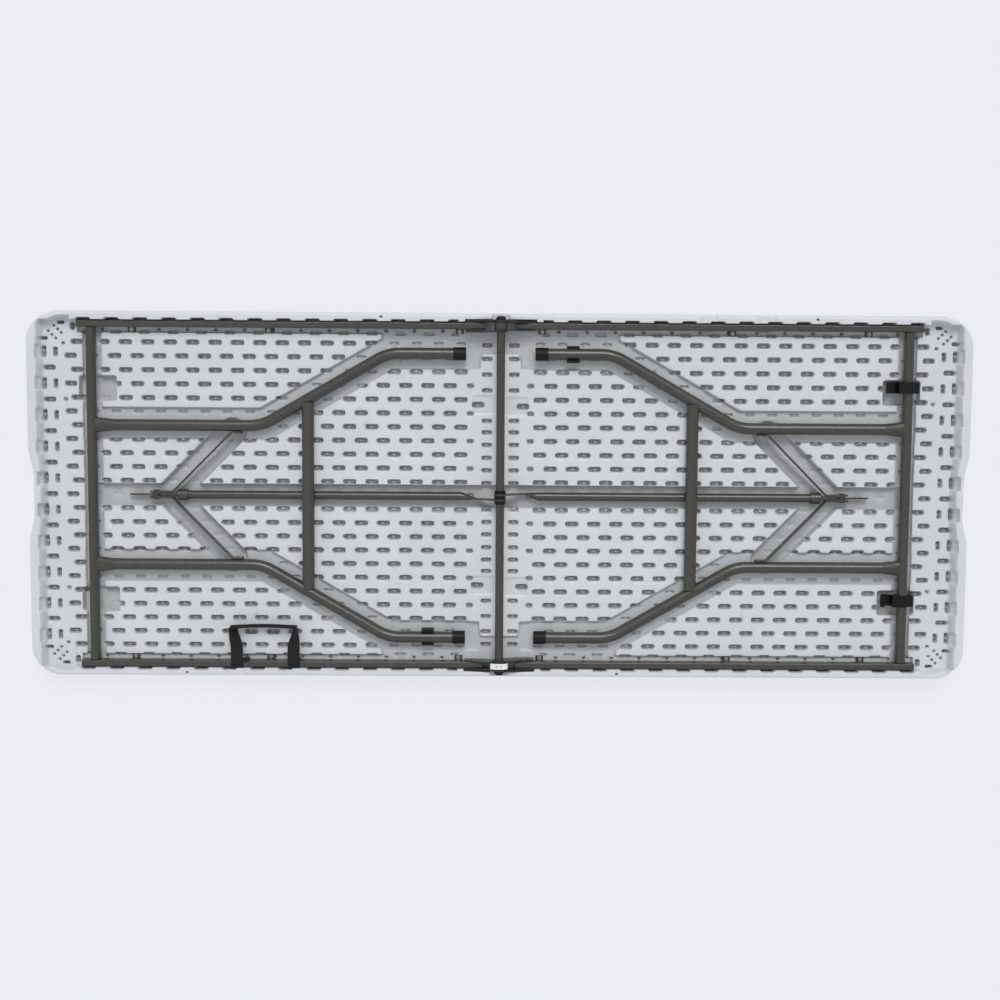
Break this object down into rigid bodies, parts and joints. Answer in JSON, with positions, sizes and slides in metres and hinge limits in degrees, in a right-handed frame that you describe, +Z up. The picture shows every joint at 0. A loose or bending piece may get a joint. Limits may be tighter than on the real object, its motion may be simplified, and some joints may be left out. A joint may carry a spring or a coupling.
{
  "type": "folding table",
  "caption": "Rectangular fold-in-half table with a moulded plastic top, steel frame, swing-out legs with folding braces and a webbing carrying handle.",
  "frame": {"origin": "middle of the work surface, which lies face down on the floor", "axes": "+X along the table's length towards the half that carries the fold clips, +Y across its width away from the handle, +Z up from the floor through the underside"},
  "size_m": [1.8, 0.7, 0.0612],
  "materials": {
    "top_plastic": "blow-moulded polyethylene, cool light grey, fine grain",
    "frame_paint": "taupe hammertone powder coat",
    "black_plastic": "moulded black nylon, satin",
    "zinc": "bright zinc plate",
    "webbing": "black woven webbing",
    "label_film": "plain white film with two orange dots"
  },
  "bodies": {
    "left_half": {"left_top_panel": "top_plastic", "left_back_rail": "frame_paint", "left_front_rail": "frame_paint", "left_panel_screws": "zinc", "left_back_hinge": "frame_paint", "left_front_hinge": "frame_paint", "left_hinge_rivets": "zinc", "left_pivot_bushes": "black_plastic", "left_leg_clip": "black_plastic", "centre_axle": "frame_paint", "axle_caps": "frame_paint", "axle_sleeves": "frame_paint", "brace_bushes": "black_plastic", "hinge_label": "label_film", "handle_loops": "webbing"},
    "right_half": {"right_top_panel": "top_plastic", "right_back_rail": "frame_paint", "right_front_rail": "frame_paint", "right_panel_screws": "zinc", "right_back_hinge": "frame_paint", "right_front_hinge": "frame_paint", "right_hinge_rivets": "zinc", "right_pivot_bushes": "black_plastic", "right_leg_clip": "black_plastic"},
    "left_leg_frame": {"left_cross_tube": "frame_paint", "left_back_leg_tube": "frame_paint", "left_front_leg_tube": "frame_paint", "left_crossbar": "frame_paint", "left_foot_caps": "black_plastic"},
    "left_brace": {"left_brace_tube": "frame_paint"},
    "left_ring": {"left_lock_ring": "black_plastic"},
    "left_v_link": {"left_back_v_arm": "frame_paint", "left_front_v_arm": "frame_paint", "left_lock_tongue": "frame_paint", "left_elbow_pin": "zinc", "left_arm_rivets": "zinc"},
    "right_leg_frame": {"right_cross_tube": "frame_paint", "right_back_leg_tube": "frame_paint", "right_front_leg_tube": "frame_paint", "right_crossbar": "frame_paint", "right_foot_caps": "black_plastic"},
    "right_brace": {"right_brace_tube": "frame_paint"},
    "right_ring": {"right_lock_ring": "black_plastic"},
    "right_v_link": {"right_back_v_arm": "frame_paint", "right_front_v_arm": "frame_paint", "right_lock_tongue": "frame_paint", "right_elbow_pin": "zinc", "right_arm_rivets": "zinc"},
    "back_clip": {"back_fold_clip": "black_plastic"},
    "front_clip": {"front_fold_clip": "black_plastic"},
    "handle": {"handle_strap": "webbing"}
  },
  "joints": [
    {"name": "centre_fold", "type": "hinge", "parent": "left_half", "child": "right_half", "pos_m": [0, 0, 0.04825], "axis": [0, 1, 0], "range_deg": [-180, 0]},
    {"name": "left_leg_fold", "type": "hinge", "parent": "left_half", "child": "left_leg_frame", "pos_m": [-0.778, 0, 0.034], "axis": [0, -1, 0], "range_deg": [0, 90]},
    {"name": "left_brace_swing", "type": "hinge", "parent": "left_half", "child": "left_brace", "pos_m": [0, 0, 0.04825], "axis": [0, 1, 0], "range_deg": [0, 21.19]},
    {"name": "left_elbow", "type": "hinge", "parent": "left_brace", "child": "left_v_link", "pos_m": [-0.65956, 0, 0.0215], "axis": [0, -1, 0], "range_deg": [0, 177.91]},
    {"name": "left_ring_slide", "type": "slide", "parent": "left_brace", "child": "left_ring", "axis": [-1, 0, 0], "range_m": [-0.04, 0]},
    {"name": "right_leg_fold", "type": "hinge", "parent": "right_half", "child": "right_leg_frame", "pos_m": [0.778, 0, 0.034], "axis": [0, 1, 0], "range_deg": [0, 90]},
    {"name": "right_brace_swing", "type": "hinge", "parent": "right_half", "child": "right_brace", "pos_m": [0, 0, 0.04825], "axis": [0, -1, 0], "range_deg": [0, 21.19]},
    {"name": "right_elbow", "type": "hinge", "parent": "right_brace", "child": "right_v_link", "pos_m": [0.65956, 0, 0.0215], "axis": [0, 1, 0], "range_deg": [0, 177.91]},
    {"name": "right_ring_slide", "type": "slide", "parent": "right_brace", "child": "right_ring", "axis": [1, 0, 0], "range_m": [-0.04, 0]},
    {"name": "back_clip_swing", "type": "hinge", "parent": "right_half", "child": "back_clip", "pos_m": [0.778, 0.2135, 0.034], "axis": [0, -1, 0], "range_deg": [-90, 0]},
    {"name": "front_clip_swing", "type": "hinge", "parent": "right_half", "child": "front_clip", "pos_m": [0.778, -0.197, 0.034], "axis": [0, -1, 0], "range_deg": [-90, 0]},
    {"name": "handle_swing", "type": "hinge", "parent": "left_half", "child": "handle", "pos_m": [-0.4495, -0.325, 0.0467], "axis": [-1, 0, 0], "range_deg": [-180, 0]}
  ],
  "couplings": [
    {"joint": "left_brace_swing", "follows": "left_leg_fold", "ratio": 0.23535},
    {"joint": "left_elbow", "follows": "left_leg_fold", "ratio": 1.9766},
    {"joint": "right_brace_swing", "follows": "right_leg_fold", "ratio": 0.23535},
    {"joint": "right_elbow", "follows": "right_leg_fold", "ratio": 1.9766}
  ]
}
